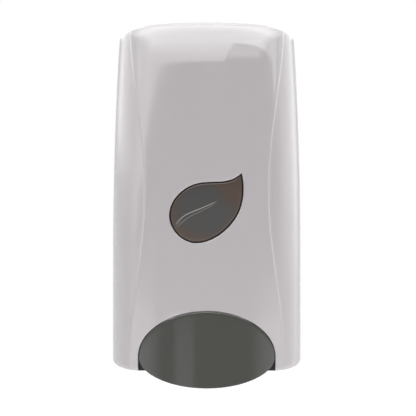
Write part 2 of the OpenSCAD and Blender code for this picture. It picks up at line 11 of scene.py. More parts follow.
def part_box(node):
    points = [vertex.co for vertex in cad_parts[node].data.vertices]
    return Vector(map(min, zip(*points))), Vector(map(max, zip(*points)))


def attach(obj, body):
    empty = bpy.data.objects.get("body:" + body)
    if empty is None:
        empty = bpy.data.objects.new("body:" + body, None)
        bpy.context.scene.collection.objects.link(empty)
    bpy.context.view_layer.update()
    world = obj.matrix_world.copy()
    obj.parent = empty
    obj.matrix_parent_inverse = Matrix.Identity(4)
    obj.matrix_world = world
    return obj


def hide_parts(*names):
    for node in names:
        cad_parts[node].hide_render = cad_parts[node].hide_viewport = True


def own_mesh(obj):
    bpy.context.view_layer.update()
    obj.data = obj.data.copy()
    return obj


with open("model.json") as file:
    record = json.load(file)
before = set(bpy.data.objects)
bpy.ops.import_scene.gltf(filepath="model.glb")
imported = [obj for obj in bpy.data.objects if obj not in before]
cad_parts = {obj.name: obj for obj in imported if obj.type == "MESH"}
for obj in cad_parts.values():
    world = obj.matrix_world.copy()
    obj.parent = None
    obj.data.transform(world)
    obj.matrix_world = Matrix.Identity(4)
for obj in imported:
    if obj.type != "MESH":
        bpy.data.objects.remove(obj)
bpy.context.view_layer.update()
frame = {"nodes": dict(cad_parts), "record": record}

MM = 0.001
STAND = 1400                       # the camera stands this far in front of the wall, in mm
EYE_Z = 13.6
LENS_MM = 170.8
FLOOR_Z = -700
FLOOR_HALF = 6000
SHARP_DEG = 32                     # edges that turn more than this are drawn crisp


def frame_box(node):
    """A CAD node's lowest and highest corners, in mm."""
    low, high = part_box(node)
    return low / MM, high / MM


# ---- driving sizes, in mm: the cover's form, which the frame's corners place ----
cover_low, cover_high = frame_box("front_cover")
WIDTH = cover_high.x - cover_low.x
Z_BOT = cover_low.z
Z_TOP = cover_high.z
HEIGHT = Z_TOP - Z_BOT
COVER_BACK = cover_high.y
DEPTH = 106
WALL = 2.5
TAPER = 5
LEAN = 8
BOW = 14
CORNER_R = 9
FOOT_R = 3.5
CROWN_R = 800
SHOULDER_H = 28
SHOULDER_D = 18
RAISE_H = 1
WAIST_W = 81
FLARE = 11
EDGE_Y = 20
PLAN_N = 6
PLAN_M = 2.5
STEP_RUN = 0.9                     # width of the step round the raised panel
CREST_SHARE = 0.93                 # the raised panel's widest share of the cover's half width
FADE_H = 26
WAIST_Z = 3
TAPER_FROM = Z_BOT + 76
Z_SHOULDER = Z_TOP - SHOULDER_H
Z_RAISE_TOP = Z_TOP - 3

panel_low, panel_high = frame_box("push_panel")
PUSH_W = panel_high.x - panel_low.x
PUSH_H = panel_high.z - panel_low.z
PUSH_WIDE = 19.4                   # the panel's widest line stands this far above its foot
PUSH_Z = panel_low.z + PUSH_WIDE
PUSH_FRONT = -panel_low.y
PUSH_GAP = 0.6
PUSH_T = 2.4
SKIRT_T = 1.8
SKIRT_D = 6
HINGE_Y = -14
HINGE_Z = Z_BOT + 9
EAR_R = 9
PIVOT_Y = -88
PIVOT_Z = -74

bush_low, bush_high = frame_box("lock_bush")
LOCK_Y = (bush_low.y + bush_high.y) / 2
BUSH_R = 7

LEAF_Z = -8                        # middle of the sight window


# ---- curves and profiles ----
def mix(a, b, t):
    return a + (b - a) * t


def clamp01(t):
    return max(0.0, min(1.0, t))


def smooth(t):
    t = clamp01(t)
    return t * t * (3 - 2 * t)


def corner_in(rise, r):
    return 0.0 if rise <= 0 else r - math.sqrt(max(0.0, r * r - rise * rise))


def side_x(z, inset=0.0):
    """Half the cover's width at height z."""
    return (
        WIDTH / 2 - TAPER * clamp01((z - TAPER_FROM) / (Z_TOP - TAPER_FROM)) ** 2 - inset
        - corner_in(z - (Z_TOP - CORNER_R), CORNER_R - inset)
        - corner_in(Z_BOT + FOOT_R - z, FOOT_R)
    )


def front_depth(z, inset=0.0):
    """How far the cover's front stands from the wall at height z, on the middle line."""
    rise = (z - Z_SHOULDER) / (SHOULDER_H - inset)
    turn_in = 0.0 if rise <= 0 else 1 - math.sqrt(max(0.0, 1 - rise * rise))
    return DEPTH - LEAN * ((z - Z_BOT) / HEIGHT) ** 2 - inset - (SHOULDER_D - inset) * turn_in


def plan_depth(s, z, inset=0.0):
    """Depth at the share s of the half width: a bowed front that turns into straight sides."""
    full = front_depth(z, inset) - EDGE_Y - BOW * s * s
    return EDGE_Y + full * max(0.0, 1 - s**PLAN_N) ** (1 / PLAN_M)


def crowned(x, z):
    return z - x * x / (2 * CROWN_R) * clamp01((z - Z_SHOULDER) / SHOULDER_H) ** 2


def raise_x(z):
    """Half the raised panel's width: a waist that flares both ways."""
    turn = min(180, abs(z - WAIST_Z) * 180 / (HEIGHT * 0.52))
    return WAIST_W / 2 + FLARE * (1 - math.cos(math.radians(turn))) / 2


def crest_x(z, inset):
    """The raised panel's edge, kept short of the cover's own."""
    return min(raise_x(z), side_x(z, inset) * CREST_SHARE)


def raised(x, z):
    fade = clamp01((z - Z_BOT - 8) / FADE_H)
    across = smooth((raise_x(z) + STEP_RUN - abs(x)) / STEP_RUN)
    up = smooth((Z_RAISE_TOP + STEP_RUN - z) / STEP_RUN)
    return RAISE_H * fade * across * up


def cover_point(x, z, inset=0.0, drop=0.0):
    """Point of the cover's outer face, or of its inner face when inset is the wall."""
    depth = plan_depth(min(1.0, abs(x) / side_x(z, inset)), z, inset) - drop
    if inset == 0:
        depth += raised(x, z)
    return (x, -depth, crowned(x, z))


def bezier(a, b, c, d, n):
    points = []
    for i in range(n):
        t = i / n
        u = 1 - t
        points.append(tuple(
            u**3 * a[k] + 3 * u * u * t * b[k] + 3 * u * t * t * c[k] + t**3 * d[k] for k in (0, 1)))
    return points


LEAF_FINE = 12                     # points along each of the window's five curves
LEAF_TIP = (23, 23)
LEAF_RIGHT = (21.8, -1.2)
LEAF_FOOT = (-6.4, -23.1)
LEAF_LEFT = (-24.7, -4.8)
LEAF_TOP = (-2.9, 16.8)


def leaf():
    """The window's outline, clockwise from its tip, centred on the window."""
    return (
        bezier(LEAF_TIP, (24.6, 16.5), (25, 7), LEAF_RIGHT, LEAF_FINE)
        + bezier(LEAF_RIGHT, (18.3, -11), (6, -22.8), LEAF_FOOT, LEAF_FINE)
        + bezier(LEAF_FOOT, (-15.5, -23.3), (-24.6, -15.2), LEAF_LEFT, LEAF_FINE)
        + bezier(LEAF_LEFT, (-24.8, 5.5), (-14.5, 15.6), LEAF_TOP, LEAF_FINE)
        + bezier(LEAF_TOP, (8, 17.8), (15.5, 15.8), LEAF_TIP, LEAF_FINE)
    )


def leaf_at_window(grow=0.0):
    return [(x, z + LEAF_Z) for x, z in grown(leaf(), grow)]


def grown(loop, by):
    """A clockwise loop moved outwards by a distance, with mitred corners."""
    if by == 0:
        return list(loop)
    out = []
    for i, here in enumerate(loop):
        before = Vector(here) - Vector(loop[i - 1])
        after = Vector(loop[(i + 1) % len(loop)]) - Vector(here)
        normals = [Vector((-d.y, d.x)).normalized() for d in (before, after)]
        middle = (normals[0] + normals[1]).normalized()
        reach = by / max(0.5, middle.dot(normals[0]))
        out.append((here[0] + middle.x * reach, here[1] + middle.y * reach))
    return out


ARCH_STEPS = 64


def push_outline(angle, grow=0.0):
    """The push panel's egg, widest below its middle."""
    up = PUSH_H - PUSH_WIDE if math.sin(angle) > 0 else PUSH_WIDE
    return ((PUSH_W / 2 + grow) * math.cos(angle), PUSH_Z + (up + grow) * math.sin(angle))


def arch(grow=0.0):
    """The cut-out for the push panel, left foot over the top to the right foot."""
    rx = PUSH_W / 2 + PUSH_GAP + grow
    side = [Z_BOT + (PUSH_Z - Z_BOT) * i / 6 for i in range(6)]
    over = [push_outline(math.pi * (1 - i / ARCH_STEPS), PUSH_GAP + grow)
            for i in range(ARCH_STEPS + 1)]
    return [(-rx, z) for z in side] + over + [(rx, z) for z in reversed(side)]


def bend_r(x, z):
    """Radius that the cover's front bends round, from its middle out to x, at height z."""
    drop = front_depth(z) - plan_depth(x / side_x(z), z)
    return (x * x + drop * drop) / (2 * drop)


def inside(point, loop):
    x, z = point
    odd = False
    for i, (x1, z1) in enumerate(loop):
        x0, z0 = loop[i - 1]
        if (z0 > z) != (z1 > z) and x < (x1 - x0) * (z - z0) / (z1 - z0) + x0:
            odd = not odd
    return odd


# ---- meshes ----
def finish_mesh(name, bm, weld=0.0005, sharp=SHARP_DEG):
    """Turns a bmesh in mm into a piece in metres, welded, with its faces outwards."""
    bmesh.ops.remove_doubles(bm, verts=bm.verts, dist=weld)
    bmesh.ops.recalc_face_normals(bm, faces=bm.faces)
    bmesh.ops.scale(bm, vec=(MM, MM, MM), verts=bm.verts)
    mesh = bpy.data.meshes.new(name)
    bm.to_mesh(mesh)
    bm.free()
    for polygon in mesh.polygons:
        polygon.use_smooth = True
    mesh.set_sharp_from_angle(angle=math.radians(sharp))
    piece = bpy.data.objects.new(name, mesh)
    bpy.context.scene.collection.objects.link(piece)
    return piece


class Skin:
    """Vertices and faces gathered in mm before they become a bmesh."""

    def __init__(self):
        self.points = []
        self.faces = []

    def add(self, points):
        first = len(self.points)
        self.points += points
        return list(range(first, len(self.points)))

    def strip(self, one, other):
        for i in range(len(one) - 1):
            self.faces.append((one[i], one[i + 1], other[i + 1], other[i]))

    def ring(self, one, other):
        self.strip(one + one[:1], other + other[:1])

    def patch(self, flat, edges, place, keep):
        """Fills a flat region whose points and constraint edges are given; place lifts each point."""
        points, _, faces, _, _, _ = delaunay_2d_cdt([Vector(p) for p in flat], edges, [], 0, 1e-6, False)
        ids = self.add([place(i, p) for i, p in enumerate(points)])
        for f in faces:
            middle = (sum(points[i].x for i in f) / 3, sum(points[i].y for i in f) / 3)
            if keep(middle):
                self.faces.append(tuple(ids[i] for i in f))

    def to_bmesh(self):
        bm = bmesh.new()
        verts = [bm.verts.new(p) for p in self.points]
        for f in self.faces:
            if len(set(f)) >= 3:
                bm.faces.new([verts[i] for i in dict.fromkeys(f)])
        loose = [v for v in bm.verts if not v.link_faces]
        bmesh.ops.delete(bm, geom=loose, context="VERTS")
        return bm


# ---- front cover ----
LIP_R = 0.7                        # rounding of the cut-outs' outer edges
LIP_STEPS = (0, 0.06, 0.2, 0.42, 0.72, 1.0)
STEP_COLS = 6
SIDE_COLS = 30
BACK_COLS = 6
PANEL_COLS = 22
TOP_GRID = 3.0                     # spacing of the points over the flat top
BOSS_EASE = 0.35
PIVOT_BOSS = (1.55, 4, 38, 42)     # the rod's bosses: bore radius, radius, and where each starts and ends
HINGE_BOSS = (2.05, 5.5, 53.6, 64)
WEB_T = 1.2                        # the webs that hold the rod's bosses to the cover's front
WEB_X = (38.4, 41.6)


def lip_drop(share):
    """Depth lost at a share of the lip's radius away from the cut-out's edge."""
    return LIP_R * (1 - math.sqrt(max(0.0, 1 - (1 - share) ** 2)))


def cover_rows(inset):
    """Heights of the rows, up to the raised panel's top edge and above it."""
    rise = SHOULDER_H - inset
    a_edge = math.asin((Z_RAISE_TOP - Z_SHOULDER) / SHOULDER_H)
    a_step = math.asin((Z_RAISE_TOP + STEP_RUN - Z_SHOULDER) / SHOULDER_H)
    low = [Z_BOT + FOOT_R * (1 - math.cos(math.radians(15 * i))) for i in range(6)]
    low += [mix(Z_BOT + FOOT_R, Z_SHOULDER, i / 78) for i in range(79)]
    low += [Z_SHOULDER + rise * math.sin(a_edge * i / 18) for i in range(1, 19)]
    high = [Z_SHOULDER + rise * math.sin(mix(a_edge, a_step, i / 6)) for i in range(1, 7)]
    high += [Z_SHOULDER + rise * math.sin(mix(a_step, math.pi / 2, i / 8)) for i in range(1, 9)]
    return low, high


def rear_edge(z):
    """The cover's rear edge, rounded about the hinge at its lower corners."""
    fall = HINGE_Z - z
    return COVER_BACK if fall <= 0 else min(COVER_BACK, HINGE_Y + math.sqrt(EAR_R**2 - min(fall, EAR_R) ** 2))


def side_columns(z, inset):
    """Points from the raised panel's edge round to the rear, on the right, at height z."""
    w = side_x(z, inset)
    crest = crest_x(z, inset)
    foot = crest + STEP_RUN
    xs = [mix(crest, foot, i / STEP_COLS) for i in range(STEP_COLS)]
    a_foot = math.asin((foot / w) ** (PLAN_N / 2))
    points = [cover_point(x, z, inset) for x in xs]
    for i in range(SIDE_COLS + 1):
        s = math.sin(mix(a_foot, math.pi / 2, i / SIDE_COLS)) ** (2 / PLAN_N)
        points.append(cover_point(s * w, z, inset))
    z_here = crowned(w, z)
    back = rear_edge(z)
    points += [(w, mix(-EDGE_Y, back, i / BACK_COLS), z_here) for i in range(1, BACK_COLS + 1)]
    return points


def mirrored(points):
    return [(-x, y, z) for x, y, z in points]


def cover_skin(skin, inset):
    """One face of the cover, outer or inner. Returns its edge loops, in the same order for both."""
    low, high = cover_rows(inset)
    outer = inset == 0
    right = [skin.add(side_columns(z, inset)) for z in low + high]
    left = [skin.add(mirrored(side_columns(z, inset))) for z in low + high]
    for side in (right, left):
        for one, other in zip(side, side[1:]):
            skin.strip(one, other)

    # the raised panel, with the leaf and the arch cut out of it
    flat, edges, drops = [], [], {}

    def line(points, drop=0.0, closed=False):
        ids = []
        for p in points:
            flat.append(p)
            drops[len(flat) - 1] = drop
            ids.append(len(flat) - 1)
        ends = zip(ids, ids[1:] + ids[:1]) if closed else zip(ids, ids[1:])
        edges.extend(ends)
        return ids

    def crest_at(z):
        return crest_x(z, inset)

    top_z = low[-1]
    top_x = [crest_at(top_z) * (i / PANEL_COLS) for i in range(-PANEL_COLS, PANEL_COLS + 1)]
    arch_edge = arch()
    leaf_edge = leaf_at_window()
    sill = [mix(-crest_at(Z_BOT), arch_edge[0][0] - LIP_R, i / 5) for i in range(6)]
    line([(x, Z_BOT) for x in sill] + [(arch_edge[0][0], Z_BOT)])
    line([(arch_edge[-1][0], Z_BOT)] + [(-x, Z_BOT) for x in reversed(sill)])
    line([(crest_at(z), z) for z in low])
    line([(-crest_at(z), z) for z in low])
    line([(x, top_z) for x in top_x])
    shares = LIP_STEPS if outer else (0, 1.0)
    for share in shares:
        drop = lip_drop(share) if outer else 0.0
        line(arch(LIP_R * share), drop)
        line(leaf_at_window(LIP_R * share), drop, closed=True)
    arch_guard = arch(LIP_R + 0.9)
    leaf_guard = leaf_at_window(LIP_R + 0.9)
    for z in low[1:-1]:
        for i in range(-PANEL_COLS + 1, PANEL_COLS):
            p = (crest_at(z) * i / PANEL_COLS, z)
            if not inside(p, arch_guard) and not inside(p, leaf_guard):
                line([p])

    def place(i, p):
        return cover_point(p.x, p.y, inset, drops.get(i, 0.0))

    region = [(-crest_at(z), z) for z in low] + [(crest_at(z), z) for z in reversed(low)]

    def keep(p):
        return inside(p, region) and not inside(p, arch_edge) and not inside(p, leaf_edge)

    skin.patch(flat, edges, place, keep)

    # the shoulder above the raised panel, on the same columns as its top edge
    middle = []
    for z in [top_z] + high:
        share = [i / PANEL_COLS for i in range(-PANEL_COLS, PANEL_COLS + 1)]
        middle.append(skin.add([cover_point(crest_at(z) * s, z, inset) for s in share]))
    for one, other in zip(middle, middle[1:]):
        skin.strip(one, other)

    # the top face, with the lock's hole
    z_last = high[-1]
    rim_r = [skin.points[i] for i in right[-1]]
    crest = [skin.points[i] for i in middle[-1]]
    outline = [(p[0], p[1]) for p in mirrored(reversed(rim_r))] + [(p[0], p[1]) for p in crest[1:-1]]
    outline += [(p[0], p[1]) for p in rim_r]
    w_back = rim_r[-1][0]
    back_line = [(w_back * (1 - i / 20), COVER_BACK) for i in range(1, 40)]
    outline += back_line
    hole = [(BUSH_R * math.cos(math.radians(a)), LOCK_Y + BUSH_R * math.sin(math.radians(a)))
            for a in range(0, 360, 6)]
    flat, edges, drops = [], [], {}
    line(outline, closed=True)
    line(hole, closed=True)
    hole_guard = [(x * 1.25, (y - LOCK_Y) * 1.25 + LOCK_Y) for x, y in hole]
    rows = int((COVER_BACK - min(y for _, y in outline)) / TOP_GRID)
    for j in range(1, rows + 1):
        for i in range(-20, 21):
            p = (i * TOP_GRID, COVER_BACK - j * TOP_GRID)
            if inside(p, [(x * 0.97, y * 0.97) for x, y in outline]) and not inside(p, hole_guard):
                line([p])
    skin.patch(flat, edges, lambda i, p: (p.x, p.y, crowned(p.x, z_last)),
               lambda p: inside(p, outline) and not inside(p, hole))

    back = [skin.points[r[-1]] for r in left]
    back += [(-x, y, crowned(x, z_last)) for x, y in back_line]
    back += [skin.points[r[-1]] for r in reversed(right)]
    foot = [skin.points[i] for i in right[0]][::-1]
    foot += [cover_point(-x, Z_BOT, inset) for x in sill[1:]]
    edge_drop = lip_drop(0) if outer else 0.0
    opening = [cover_point(x, z, inset, edge_drop) for x, z in reversed(arch_edge)]
    rim = back + foot[1:] + opening + mirrored(reversed(foot[1:]))
    window = [cover_point(x, z, inset, edge_drop) for x, z in leaf_edge]
    lock = [(x, y, crowned(x, z_last)) for x, y in hole]
    return rim, window, lock


def tube(skin, axis, centre, spans, sides=40):
    """Turned form closed on itself: spans is a loop of (radius, place along the axis)."""
    turn = {"x": lambda a, r, t: (t, centre[0] + r * math.cos(a), centre[1] + r * math.sin(a)),
            "y": lambda a, r, t: (centre[0] + r * math.cos(a), t, centre[1] + r * math.sin(a)),
            "z": lambda a, r, t: (centre[0] + r * math.cos(a), centre[1] + r * math.sin(a), t)}[axis]
    loops = [skin.add([turn(2 * math.pi * i / sides, r, t) for i in range(sides)]) for r, t in spans]
    for one, other in zip(loops, loops[1:] + loops[:1]):
        skin.ring(one, other)


def eased(r_in, r_out, t0, t1):
    """Loop of a plain sleeve with eased outer edges."""
    ease = BOSS_EASE
    return [(r_in, t0), (r_out - ease, t0), (r_out - 0.3 * ease, t0 + 0.3 * ease), (r_out, t0 + ease),
            (r_out, t1 - ease), (r_out - 0.3 * ease, t1 - 0.3 * ease), (r_out - ease, t1), (r_in, t1)]


def make_cover():
    skin = Skin()
    loops = [cover_skin(skin, 0.0), cover_skin(skin, WALL)]
    for one, other in zip(*loops):
        skin.ring(skin.add(one), skin.add(other))
    for side in (-1, 1):
        tube(skin, "x", (PIVOT_Y, PIVOT_Z), [(r, side * t) for r, t in eased(*PIVOT_BOSS)])
        tube(skin, "x", (HINGE_Y, HINGE_Z), [(r, side * t) for r, t in eased(*HINGE_BOSS)])
        front = -plan_depth(0.65, PIVOT_Z, WALL / 2)
        for z in (PIVOT_Z - 3.2, PIVOT_Z + 2):
            web = [skin.add([(side * x, y, z + dz) for y, dz in
                             ((PIVOT_Y - 2, 0), (front, 0), (front, WEB_T), (PIVOT_Y - 2, WEB_T))])
                   for x in WEB_X]
            skin.ring(*web)
            skin.faces += [tuple(web[0]), tuple(web[1])]
    return finish_mesh("cover_shell", skin.to_bmesh(), weld=0.002)


# ---- push panel ----
PANEL_R = bend_r(PUSH_W / 2, (panel_high.z + panel_low.z) / 2 + PUSH_H / 4)
EDGE_R = 0.4                       # rounding of the panel's front edge


def panel_point(angle, inset, back):
    """Point of the panel inside its outline by a distance, behind the bent front by another."""
    x, z = push_outline(angle, -inset)
    return (x, -PUSH_FRONT + PANEL_R - math.sqrt(PANEL_R**2 - x * x) + back, z)


def make_panel():
    skin = Skin()
    angles = [2 * math.pi * i / 144 for i in range(144)]
    rings = []
    for i in range(1, 17):
        share = i / 17
        flat = [push_outline(a, -EDGE_R) for a in angles]
        ring = []
        for x, z in flat:
            x, z = x * share, PUSH_Z + (z - PUSH_Z) * share
            ring.append((x, -PUSH_FRONT + PANEL_R - math.sqrt(PANEL_R**2 - x * x), z))
        rings.append(ring)
    for i in range(7):
        turn = math.radians(15 * i)
        rings.append([panel_point(a, EDGE_R * (1 - math.sin(turn)), EDGE_R * (1 - math.cos(turn)))
                      for a in angles])
    total = PUSH_T + SKIRT_D
    rings.append([panel_point(a, 0, PUSH_T) for a in angles])
    rings.append([panel_point(a, 0, total - 0.4) for a in angles])
    rings.append([panel_point(a, 0.4, total) for a in angles])
    rings.append([panel_point(a, SKIRT_T - 0.4, total) for a in angles])
    rings.append([panel_point(a, SKIRT_T, total - 0.4) for a in angles])
    rings.append([panel_point(a, SKIRT_T, PUSH_T + 1) for a in angles])
    rings.append([panel_point(a, SKIRT_T + 1, PUSH_T) for a in angles])
    for share in (0.75, 0.5, 0.25):
        rings.append([panel_point(a, (PUSH_WIDE - 2) * (1 - share), PUSH_T) for a in angles])
    loops = [skin.add(ring) for ring in rings]
    for one, other in zip(loops, loops[1:]):
        skin.ring(one, other)
    for loop, back in ((loops[0], 0), (loops[-1], PUSH_T)):
        hub = skin.add([(0, -PUSH_FRONT + back, PUSH_Z)])[0]
        for i, here in enumerate(loop):
            skin.faces.append((loop[i - 1], here, hub))
    screw_z = (panel_high.z + panel_low.z) / 2
    post_y = -PUSH_FRONT + PANEL_R - math.sqrt(PANEL_R**2 - 27**2) + 0.8
    for x in (-24, 24):
        tube(skin, "y", (x, screw_z), [(1.1, -81.5), (2.7, -81.5), (3, -81.8), (3, post_y + PUSH_T),
             (3.9, post_y + 1.2), (1.1, post_y + 1.2)], 32)
    return finish_mesh("push_panel_shell", skin.to_bmesh())


# ---- sight window ----
LENS_GAP = 1.05                    # the dark line round the window
LENS_EASE = 0.3
LENS_SINK = 0.15                   # the window sits this much behind the raised panel
LENS_SHOULDER, LENS_FLANGE, LENS_BACK = 2.6, 3.65, 4.95      # how far behind its front each step lies
LENS_LIP = 2.5                     # the flange reaches this far past the opening
RIB_RISE = 0.34
RIB_LINE = (                       # the moulded rib's middle line in x and z, and half its width
    (6.6, -3.9, 0.25), (3.5, -5.7, 0.75), (0.0, -7.3, 0.95), (-4.0, -9.2, 1.1), (-8.5, -11.1, 1.2),
    (-13.0, -13.4, 1.4), (-16.4, -16.0, 1.5), (-18.6, -18.6, 1.55), (-19.8, -20.4, 1.5))
LENS_R = bend_r(25, LEAF_Z)
LENS_DEPTH = front_depth(LEAF_Z) + RAISE_H - LENS_SINK


def lens_y(x, z, back=0.0):
    """The window's bent front: it leans with the cover."""
    lean = front_depth(z) - front_depth(LEAF_Z)
    return -(LENS_DEPTH + lean - back) + LENS_R - math.sqrt(LENS_R**2 - x * x)


def make_window():
    skin = Skin()
    outline = leaf_at_window(-LENS_GAP)
    count = len(outline)
    flat, edges, drops = [], [], []
    for i in range(7):
        turn = math.radians(15 * i)
        ring = leaf_at_window(-LENS_GAP - LENS_EASE * (1 - math.sin(turn)))
        first = len(flat)
        flat += ring
        drops += [LENS_EASE * (1 - math.cos(turn))] * count
        edges += [(first + k, first + (k + 1) % count) for k in range(count)]
    guard = leaf_at_window(-LENS_GAP - LENS_EASE - 0.8)
    for i in range(-17, 18):
        for j in range(-17, 18):
            q = (i * 1.5, LEAF_Z + j * 1.5)
            if inside(q, guard):
                flat.append(q)
                drops.append(0.0)

    def place(i, q):
        return (q.x, lens_y(q.x, q.y, drops[i] if i < len(drops) else 0), q.y)

    skin.patch(flat, edges, place, lambda q: inside(q, outline))
    edge = [(x, lens_y(x, z, LENS_EASE), z) for x, z in outline]
    wide = leaf_at_window(LENS_LIP)
    walls = [edge, [(x, lens_y(x, z, LENS_SHOULDER), z) for x, z in outline],
             [(x, lens_y(x, z, LENS_FLANGE), z) for x, z in leaf_at_window(-LENS_GAP * 0.2)],
             [(x, lens_y(x, z, LENS_FLANGE), z) for x, z in wide],
             [(x, lens_y(x, z, LENS_BACK), z) for x, z in wide]]
    loops = [skin.add(ring) for ring in walls]
    for one, other in zip(loops, loops[1:]):
        skin.ring(one, other)
    skin.patch(wide, [(k, (k + 1) % len(wide)) for k in range(len(wide))],
               lambda i, q: (q.x, lens_y(q.x, q.y, LENS_BACK), q.y), lambda q: inside(q, wide))
    return finish_mesh("sight_window_lens", skin.to_bmesh(), weld=0.002)


def make_rib():
    """The tapered rib moulded on the window, like a leaf's middle vein."""
    skin = Skin()
    line = [Vector(p[:2]) for p in RIB_LINE]
    steps = []
    for i in range(len(line) - 1):
        before, after = line[max(i - 1, 0)], line[min(i + 2, len(line) - 1)]
        for k in range(6):
            t = k / 6
            a, b = line[i], line[i + 1]
            m0, m1 = (b - before) / 2, (after - a) / 2
            spot = (a * (2 * t**3 - 3 * t * t + 1) + m0 * (t**3 - 2 * t * t + t)
                    + b * (3 * t * t - 2 * t**3) + m1 * (t**3 - t * t))
            steps.append((spot, mix(RIB_LINE[i][2], RIB_LINE[i + 1][2], t)))
    steps.append((line[-1], RIB_LINE[-1][2]))
    rows = []
    for i, (spot, half) in enumerate(steps):
        ahead = (steps[min(i + 1, len(steps) - 1)][0] - steps[max(i - 1, 0)][0]).normalized()
        side = Vector((-ahead.y, ahead.x))
        rise = RIB_RISE * smooth(i / 5) * smooth((len(steps) - 1 - i) / 14)
        section = []
        for out, up in ((half, -0.3), (half, 0), (half - min(0.42, half * 0.45), 1),
                        (-half + min(0.42, half * 0.45), 1), (-half, 0), (-half, -0.3)):
            q = spot + side * out
            section.append((q.x, lens_y(q.x, q.y, -rise * up if up > 0 else -up * 0.5), q.y))
        rows.append(skin.add(section))
    for one, other in zip(rows, rows[1:]):
        skin.ring(one, other)
    skin.faces += [tuple(rows[0]), tuple(rows[-1])]
    return finish_mesh("sight_window_rib", skin.to_bmesh(), sharp=12)


def clear_top(rib):
    """Leaves the rib's flat top in the window's own clear finish; the painted highlight stays on the flanks.
    """
    rib.data.materials.append(looks["smoked_window"])
    for polygon in rib.data.polygons:
        polygon.material_index = int(polygon.normal.y < -0.96)


# ---- CAD pieces given the small edge radii of the real mouldings ----
HARD_DEG = 40                      # edges that turn more than this are rounded off
EASED_SEGMENTS = 2


def eased_copy(node, radius):
    """A welded copy of a CAD node's shape with its hard edges rounded off."""
    bm = bmesh.new()
    bm.from_mesh(frame["nodes"][node].data)
    bmesh.ops.scale(bm, vec=(1 / MM, 1 / MM, 1 / MM), verts=bm.verts)
    bmesh.ops.remove_doubles(bm, verts=bm.verts, dist=0.002)
    bmesh.ops.dissolve_limit(bm, angle_limit=math.radians(0.6), verts=bm.verts, edges=bm.edges)
    hard = [e for e in bm.edges if len(e.link_faces) == 2 and e.calc_face_angle() > math.radians(HARD_DEG)]
    bmesh.ops.bevel(bm, geom=hard, offset=radius, segments=EASED_SEGMENTS, profile=0.5, affect="EDGES",
                    clamp_overlap=True)
    bmesh.ops.triangulate(bm, faces=[f for f in bm.faces if len(f.verts) > 4])
    return weighted(finish_mesh(node + "_eased", bm, sharp=30))


def weighted(piece):
    """Lets the big flat faces set the shading, so the small rounded edges do not bend it."""
    modifier = piece.modifiers.new("weighted", "WEIGHTED_NORMAL")
    modifier.keep_sharp = True
    bent = piece.data
    piece.data = bpy.data.meshes.new_from_object(piece.evaluated_get(bpy.context.evaluated_depsgraph_get()))
    piece.modifiers.clear()
    bpy.data.meshes.remove(bent)
    piece.data.name = piece.name
    return piece


# ---- what repeats, and what follows a path ----
def node_piece(name, build):
    """A mesh made by Geometry Nodes: build adds the nodes and returns the geometry socket."""
    tree = bpy.data.node_groups.new(name, "GeometryNodeTree")
    tree.interface.new_socket("Geometry", in_out="OUTPUT", socket_type="NodeSocketGeometry")
    out = tree.nodes.new("NodeGroupOutput")
    sizes, shape = build(tree)
    solid = add(tree, "GeometryNodeRealizeInstances", {"Geometry": shape})
    tree.links.new(solid.outputs[0], out.inputs[0])
    host = bpy.data.objects.new(name + "_host", bpy.data.meshes.new(name + "_host"))
    bpy.context.scene.collection.objects.link(host)
    modifier = host.modifiers.new("nodes", "NODES")
    modifier.node_group = tree
    for key, value in sizes.items():
        modifier[key] = value
    made = host.evaluated_get(bpy.context.evaluated_depsgraph_get())
    bm = bmesh.new()
    mesh = bpy.data.meshes.new_from_object(made)
    bm.from_mesh(mesh)
    bpy.data.objects.remove(host)
    bpy.data.meshes.remove(mesh)
    bmesh.ops.scale(bm, vec=(1 / MM, 1 / MM, 1 / MM), verts=bm.verts)
    return finish_mesh(name, bm, sharp=40)


def number(tree, name):
    """A named input of a node tree, with its identifier."""
    item = tree.interface.new_socket(name, in_out="INPUT", socket_type="NodeSocketFloat")
    if "sizes" not in tree:
        tree["sizes"] = 1
        tree.nodes.new("NodeGroupInput").name = "sizes"
    return item.identifier, tree.nodes["sizes"].outputs[name]


spring_low, spring_high = frame_box("pump_spring")
WIRE = 1.3
SPRING_TURNS = 5


def spring_tree(tree):
    """A coil of wire."""
    radius_id, radius = number(tree, "Coil radius")
    wire_id, wire = number(tree, "Wire radius")
    height_id, height = number(tree, "Height")
    foot_id, foot = number(tree, "Foot")
    y_id, y = number(tree, "Axis")
    coil = add(tree, "GeometryNodeCurveSpiral", {"Resolution": 48, "Rotations": float(SPRING_TURNS),
               "Start Radius": radius, "End Radius": radius, "Height": height})
    place = add(tree, "ShaderNodeCombineXYZ", {"Y": y, "Z": foot})
    moved = add(tree, "GeometryNodeSetPosition", {"Geometry": coil.outputs[0], "Offset": place.outputs[0]})
    section = add(tree, "GeometryNodeCurvePrimitiveCircle", {"Resolution": 14, "Radius": wire})
    sweep = add(tree, "GeometryNodeCurveToMesh", {"Curve": moved.outputs[0],
                "Profile Curve": section.outputs[0], "Fill Caps": True})
    sizes = {
        radius_id: (spring_high.x - WIRE / 2) * MM, wire_id: WIRE / 2 * MM,
        height_id: (spring_high.z - spring_low.z - WIRE) * MM, foot_id: (spring_low.z + WIRE / 2) * MM,
        y_id: (spring_high.y + spring_low.y) / 2 * MM}
    return sizes, sweep.outputs[0]


nut_low, nut_high = frame_box("collar_nut")
NUT_RIBS = 36


